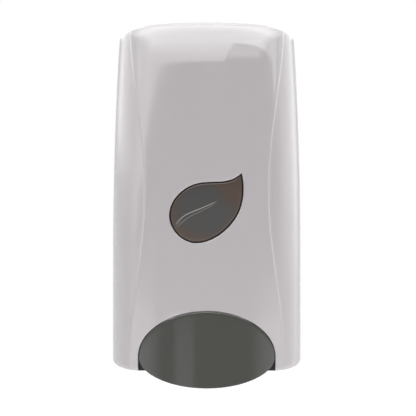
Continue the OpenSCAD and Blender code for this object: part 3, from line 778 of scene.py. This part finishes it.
def ribs_tree(tree):
    """Grip ribs set round the collar nut."""
    radius_id, radius = number(tree, "Ring radius")
    rib_id, rib = number(tree, "Rib radius")
    length_id, length = number(tree, "Rib length")
    middle_id, middle = number(tree, "Middle height")
    y_id, y = number(tree, "Axis")
    ring = add(tree, "GeometryNodeMeshCircle", {"Vertices": NUT_RIBS, "Radius": radius})
    bar = add(tree, "GeometryNodeMeshCylinder", {"Vertices": 10, "Radius": rib, "Depth": length})
    place = add(tree, "ShaderNodeCombineXYZ", {"Y": y, "Z": middle})
    centred = add(tree, "GeometryNodeSetPosition", {"Geometry": ring.outputs[0], "Offset": place.outputs[0]})
    ribs = add(tree, "GeometryNodeInstanceOnPoints", {"Points": centred.outputs[0],
               "Instance": bar.outputs[0]})
    sizes = {
        radius_id: (nut_high.x - 0.25) * MM, rib_id: 0.7 * MM,
        length_id: (nut_high.z - nut_low.z - 2.4) * MM, middle_id: (nut_high.z + nut_low.z) / 2 * MM,
        y_id: (nut_high.y + nut_low.y) / 2 * MM}
    return sizes, ribs.outputs[0]


# ---- looks ----
def linear(hex_colour):
    """An sRGB hex colour as linear RGBA."""
    channels = [int(hex_colour[i:i + 2], 16) / 255 for i in (1, 3, 5)]
    return (*[c / 12.92 if c <= 0.04045 else ((c + 0.055) / 1.055) ** 2.4 for c in channels], 1.0)


def add(tree, kind, inputs=None, **settings):
    """Adds a node, sets its attributes, and sets or links its inputs by name or number."""
    made = tree.nodes.new(kind)
    for key, value in settings.items():
        setattr(made, key, value)
    for key, value in (inputs or {}).items():
        if isinstance(value, bpy.types.NodeSocket):
            tree.links.new(value, made.inputs[key])
        else:
            made.inputs[key].default_value = value
    return made


def new_material(name):
    material = bpy.data.materials.new(name)
    material.use_nodes = True
    tree = material.node_tree
    tree.nodes.clear()
    return material, tree, add(tree, "ShaderNodeTexCoord").outputs["Object"]


def end_material(tree, shader):
    add(tree, "ShaderNodeOutputMaterial", {"Surface": shader.outputs[0]})


def per_mm(size_mm):
    """Noise scale whose grain is this many mm across."""
    return 1 / (size_mm * MM)


def moulded(name, low, high, rough, grain=9, bump=0.02, lift=0.4, ior=1.54, **fixed):
    """A moulded plastic: colour drifts between two hexes and gloss between two values, over a ripple."""
    material, tree, where = new_material(name)
    ripple = add(tree, "ShaderNodeTexNoise", {"Vector": where, "Scale": per_mm(grain), "Detail": 1.5})
    haze = add(tree, "ShaderNodeTexNoise", {"Vector": where, "Scale": per_mm(40), "Detail": 3.0})
    gloss = add(tree, "ShaderNodeMapRange", {"Value": haze.outputs[0], "From Min": 0.3, "From Max": 0.7,
                "To Min": rough[0], "To Max": rough[1]})
    colour = add(tree, "ShaderNodeMix", {"Factor": haze.outputs[0], "A": linear(low), "B": linear(high)},
                 data_type="RGBA")
    dent = add(tree, "ShaderNodeBump", {"Height": ripple.outputs[0], "Strength": bump, "Distance": lift * MM})
    shader = add(tree, "ShaderNodeBsdfPrincipled", {
        "Base Color": colour.outputs["Result"], "Roughness": gloss.outputs[0], "IOR": ior,
        "Normal": dent.outputs[0], **fixed})
    end_material(tree, shader)
    return material


def metal(name, tone, rough, stretch, **fixed):
    """A metal: fine drawn or turned lines along one axis break its reflections."""
    material, tree, where = new_material(name)
    lines = add(tree, "ShaderNodeMapping", {"Vector": where, "Scale": stretch})
    grain = add(tree, "ShaderNodeTexNoise", {"Vector": lines.outputs[0], "Scale": per_mm(1.2), "Detail": 4.0})
    gloss = add(tree, "ShaderNodeMapRange", {"Value": grain.outputs[0], "From Min": 0.3, "From Max": 0.7,
                "To Min": rough[0], "To Max": rough[1]})
    dent = add(tree, "ShaderNodeBump", {"Height": grain.outputs[0], "Strength": 0.05, "Distance": 0.1 * MM})
    shader = add(tree, "ShaderNodeBsdfPrincipled", {
        "Base Color": linear(tone), "Metallic": 1.0, "Roughness": gloss.outputs[0],
        "Normal": dent.outputs[0], **fixed})
    end_material(tree, shader)
    return material


def smoked_window():
    """Smoked polycarbonate: neutral over the middle, browner where the sheet turns to its edge."""
    material, tree, where = new_material("smoked_polycarbonate")
    centre = add(tree, "ShaderNodeVectorMath", {0: where, 1: (-1.5 * MM, -0.1053, (LEAF_Z - 2) * MM)},
                 operation="SUBTRACT")
    far = add(tree, "ShaderNodeVectorMath", {0: centre.outputs[0]}, operation="LENGTH")
    edge = add(tree, "ShaderNodeMapRange", {"Value": far.outputs["Value"], "From Min": 11 * MM,
               "From Max": 23 * MM}, interpolation_type="SMOOTHSTEP")
    cloud = add(tree, "ShaderNodeTexNoise", {"Vector": where, "Scale": per_mm(14), "Detail": 2.0})
    sway = add(tree, "ShaderNodeMapRange", {"Value": cloud.outputs[0], "From Min": 0.3, "From Max": 0.7,
               "To Min": -0.25, "To Max": 0.25})
    share = add(tree, "ShaderNodeMath", {0: edge.outputs[0], 1: sway.outputs[0]}, operation="ADD",
                use_clamp=True)
    colour = add(tree, "ShaderNodeMix", {"Factor": share.outputs[0], "A": linear("#535352"),
                 "B": linear("#5f4e45")}, data_type="RGBA")
    gloss = add(tree, "ShaderNodeMapRange", {"Value": cloud.outputs[0], "To Min": 0.05, "To Max": 0.12})
    shader = add(tree, "ShaderNodeBsdfPrincipled", {
        "Base Color": colour.outputs["Result"], "Roughness": gloss.outputs[0], "IOR": 1.58})
    end_material(tree, shader)
    return material


def make_looks():
    """One material for each real material in the maker's list."""
    return {
        # the cover and back plate: the long soft ripple of orange peel in a polished white gloss
        "white_abs": moulded("white_gloss_abs", "#d9d3d6", "#dcd7da", (0.08, 0.13)),
        # the tank: milky, waxy and soft edged, where light gets a little way in
        "natural_pp": moulded("milky_polypropylene", "#dfe1dd", "#e9ebe7", (0.3, 0.42), 5, 0.05, ior=1.49,
                              **{"Subsurface Weight": 0.35, "Subsurface Scale": 3 * MM,
                                 "Subsurface Radius": (1.0, 1.0, 0.9)}),
        # seals: a dull, faintly cloudy rubber that takes no sharp light
        "silicone": moulded("clear_grey_silicone", "#c9c9c2", "#d8d8d1", (0.42, 0.55), 2, 0.08, ior=1.41,
                            **{"Subsurface Weight": 0.3, "Subsurface Scale": 1.5 * MM}),
        # the piston's ring: matt black with a fine tooth
        "black_rubber": moulded("black_nitrile_rubber", "#151515", "#1f1f1e", (0.6, 0.72), 0.5, 0.15, 0.05,
                                1.52),
        # the push panel: deep glossy grey whose tint moves a little through the moulding
        "smoked_grey": moulded("grey_gloss_abs", "#42433d", "#494a44", (0.09, 0.15), 12, 0.015),
        # the lever behind it: black with the fine spark texture of an unpolished tool
        "black_abs": moulded("black_textured_abs", "#101010", "#1a1a19", (0.32, 0.45), 0.4, 0.2, 0.05),
        # pump parts: slippery white acetal, between gloss and satin
        "white_acetal": moulded("white_acetal", "#e6e5df", "#eeede8", (0.2, 0.3), 3, 0.04, ior=1.48),
        # the window's rib: its flanks are frosted and rougher than the clear sheet, and their colour is
        # painted lighter as a painted highlight along both sides of the rib
        "rib_flank_painted_highlight": moulded("frosted_rib", "#625d5a", "#6f6a67", (0.3, 0.4), 1, 0.1, 0.05, 1.58),
        # rods, pins, screws, spring and cam: drawn stainless with fine lines along its length
        "steel": metal("drawn_stainless_steel", "#b9b8b5", (0.16, 0.28), (0.05, 1, 1)),
        # the lock's bush and plug: bright nickel plate, barely broken by polishing marks
        "plated_zinc": metal("nickel_plated_zinc", "#c9cbcc", (0.08, 0.16), (1, 1, 0.1)),
        "smoked_window": smoked_window(),
    }


LOOK_OF = {
    "white_abs": ("back_plate", "front_cover"),
    "natural_pp": ("tank", "tank_top", "fill_lid"),
    "silicone": ("lid_gasket", "neck_gasket", "drip_valve"),
    "black_rubber": ("piston_ring",),
    "smoked_window": ("sight_window",),
    "smoked_grey": ("push_panel",),
    "black_abs": ("push_lever",),
    "steel": ("cover_hinge_pins", "push_pivot_rod", "lid_hinge_pin", "panel_screws", "lock_screw",
              "lock_cam", "lock_nut", "pump_spring", "inlet_ball"),
    "plated_zinc": ("lock_bush", "lock_plug"),
    "white_acetal": ("collar_nut", "pump_barrel", "piston", "ball_cage"),
}
EASED = {
    "back_plate": 0.5, "tank": 0.8, "tank_top": 0.35, "fill_lid": 0.45, "push_lever": 0.35,
    "lock_bush": 0.3, "lock_plug": 0.2, "lock_cam": 0.2, "lock_nut": 0.3, "collar_nut": 0.6,
    "piston": 0.3, "panel_screws": 0.25,
}


def stage_white():
    """The pale floor, lit a little from within so that it stays even."""
    material, tree, _ = new_material("pale_floor")
    shader = add(tree, "ShaderNodeBsdfPrincipled", {"Base Color": linear("#f4f4f4"), "Roughness": 0.8,
                 "Emission Color": (1, 1, 1, 1), "Emission Strength": 0.25})
    end_material(tree, shader)
    return material


def dress(piece, material):
    """Gives a piece one material."""
    piece.data.materials.clear()
    piece.data.materials.append(material)
    return piece


def make_stage():
    scene = bpy.context.scene
    camera = bpy.data.objects.new("camera", bpy.data.cameras.new("camera"))
    scene.collection.objects.link(camera)
    camera.location = (0, -STAND * MM, EYE_Z * MM)
    camera.rotation_euler = (math.pi / 2, 0, 0)
    camera.data.sensor_width = 36
    camera.data.lens = LENS_MM
    camera.data.shift_x = 0.003
    camera.data.shift_y = -0.079
    scene.camera = camera

    bm = bmesh.new()
    bmesh.ops.create_grid(bm, x_segments=4, y_segments=4, size=FLOOR_HALF)
    bmesh.ops.translate(bm, vec=(0, 0, FLOOR_Z), verts=bm.verts)
    floor = finish_mesh("floor", bm)
    dress(floor, stage_white())
    floor.visible_glossy = False

    light_world(scene)
    scene.view_settings.view_transform = "Standard"


def light_world(scene):
    """A white tent: even and soft for diffuse light, with the boxes and gaps that gloss picks out.

    front and z are shares of the direction, side turns right from the front, up is the height
    above the horizon and pitch is the height seen from the side; the last three are in degrees.
    """
    world = bpy.data.worlds.new("studio")
    scene.world = world
    world.use_nodes = True
    tree = world.node_tree
    tree.nodes.clear()
    parts = add(tree, "ShaderNodeSeparateXYZ", {0: add(tree, "ShaderNodeTexCoord").outputs["Generated"]})
    x, y, z = parts.outputs
    front = add(tree, "ShaderNodeMath", {0: y, 1: -1.0}, operation="MULTIPLY").outputs[0]
    side = in_degrees(tree, add(tree, "ShaderNodeMath", {0: x, 1: front}, operation="ARCTAN2").outputs[0])
    up = in_degrees(tree, add(tree, "ShaderNodeMath", {0: z}, operation="ARCSINE").outputs[0])

    def step(value, start, stop, low=0.0, high=1.0):
        return add(tree, "ShaderNodeMapRange", {"Value": value, "From Min": start, "From Max": stop,
                   "To Min": low, "To Max": high}, interpolation_type="SMOOTHSTEP").outputs[0]

    def both(a, b, operation="MULTIPLY"):
        return add(tree, "ShaderNodeMath", {0: a, 1: b}, operation=operation).outputs[0]

    soft = both(step(front, *SOFT_FRONT), step(z, *SOFT_TOP), "ADD")
    apart = both(side, 0.0, "ABSOLUTE")
    slant = both(side, both(up, -0.33), "ADD")
    pitch = in_degrees(tree, add(tree, "ShaderNodeMath", {0: z, 1: front}, operation="ARCTAN2").outputs[0])
    inboard = both(step(both(x, x), 0.75, 0.4, 0.45), step(pitch, 100, 150, 1.0, 0.25))
    overhead = both(both(step(pitch, 47, 50), step(up, 3, 9)), inboard)
    window_box = both(both(step(pitch, 11, 13), step(side, -120, -60, 0.2)), step(slant, 4.5, 7.5, 1.0, 0.0))
    glow = both(both(step(up, 11, 26, 0.0, GLOSS_GLOW), step(slant, 4.5, 7.5)), step(side, 80, 40))
    strip = both(both(step(side, -27, -23), step(side, -12, -5, 1.0, 0.0)), step(up, -4.5, -3, 1.0, 0.0))
    boxes = [
        both(step(front, -0.2, 0.7, 0.72, 0.3), step(x, -0.1, 0.4, 1.0, 1.1)),
        both(step(front, 0.3, 0.8), step(up, 8, -4, 0.27, GLOSS_LOW)),
        both(overhead, GLOSS_TOP),
        glow,
        both(window_box, step(up, 10, 50, *GLOSS_BOX)),
        both(both(both(step(side, -70, -95), step(side, -172, -150)), step(up, -1, 3)), GLOSS_LEFT),
        both(both(step(side, 74, 112), step(side, 150, 172, 1.0, 0.0)), step(up, -5, 3, *GLOSS_RIGHT)),
        both(both(step(apart, 18, 52), step(apart, 90, 125, 1.0, 0.0)), step(up, 1, -4, 0.0, GLOSS_WINGS)),
        step(up, -25, -60, 0.0, GLOSS_FLOOR),
        both(strip, GLOSS_STRIP),
    ]
    shine = boxes[0]
    for box in boxes[1:]:
        shine = both(shine, box, "MAXIMUM")
    path = add(tree, "ShaderNodeLightPath")
    glossy = add(tree, "ShaderNodeMix", {"Factor": path.outputs["Is Glossy Ray"], "A": soft, "B": shine},
                 data_type="FLOAT")
    strength = add(tree, "ShaderNodeMix", {"Factor": path.outputs["Is Camera Ray"],
                   "A": glossy.outputs[0], "B": 1.0}, data_type="FLOAT")
    background = add(tree, "ShaderNodeBackground", {"Color": (1, 1, 1, 1), "Strength": strength.outputs[0]})
    add(tree, "ShaderNodeOutputWorld", {"Surface": background.outputs[0]})


def in_degrees(tree, value):
    return add(tree, "ShaderNodeMath", {0: value}, operation="DEGREES").outputs[0]


# diffuse light from the front, where the camera stands, and from above: from, to, low, high
SOFT_FRONT = (-0.3, 0.9, 0.52, 0.37)
SOFT_TOP = (0.1, 0.8, 0.0, 0.2)
# strengths that gloss sees
GLOSS_LOW = 0.96                   # in front and below the middle
GLOSS_TOP = 7.2                    # overhead
GLOSS_GLOW = 3.1                   # upper right
GLOSS_BOX = (3.4, 6.6)             # upper left, at its foot and at its top
GLOSS_LEFT = 1.7                   # at the far left
GLOSS_RIGHT = (1.1, 1.75)          # at the far right, below and above the middle
GLOSS_WINGS = 2.1                  # low on both sides
GLOSS_FLOOR = 2.5
GLOSS_STRIP = 1.7                  # the narrow band that shows in the push panel

make_stage()
looks = make_looks()
look_of = {node: look for look, nodes in LOOK_OF.items() for node in nodes}
body_of = {node: body for body, nodes in frame["record"]["behaviour"]["bodies"].items() for node in nodes}


def seat(piece, node, look=None, replaces=True):
    """Dresses a finished piece, seats it on the body of its node, and hides that node."""
    dress(piece, looks[look or look_of[node]])
    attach(piece, body_of[node])
    if replaces:
        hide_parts(node)
    return piece


seat(make_cover(), "front_cover")
seat(make_window(), "sight_window")
# the rib's flanks carry the painted highlight; its flat top keeps the window's own finish
clear_top(seat(make_rib(), "sight_window", "rib_flank_painted_highlight", replaces=False))
seat(make_panel(), "push_panel")
for node, radius in EASED.items():
    seat(eased_copy(node, radius), node)
seat(node_piece("collar_nut_ribs", ribs_tree), "collar_nut", replaces=False)
spring = seat(node_piece("pump_spring_coil", spring_tree), "pump_spring")
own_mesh(spring)
for node, look in look_of.items():
    for k in range(len(frame["nodes"][node].material_slots)):
        frame["nodes"][node].material_slots[k].material = looks[look]
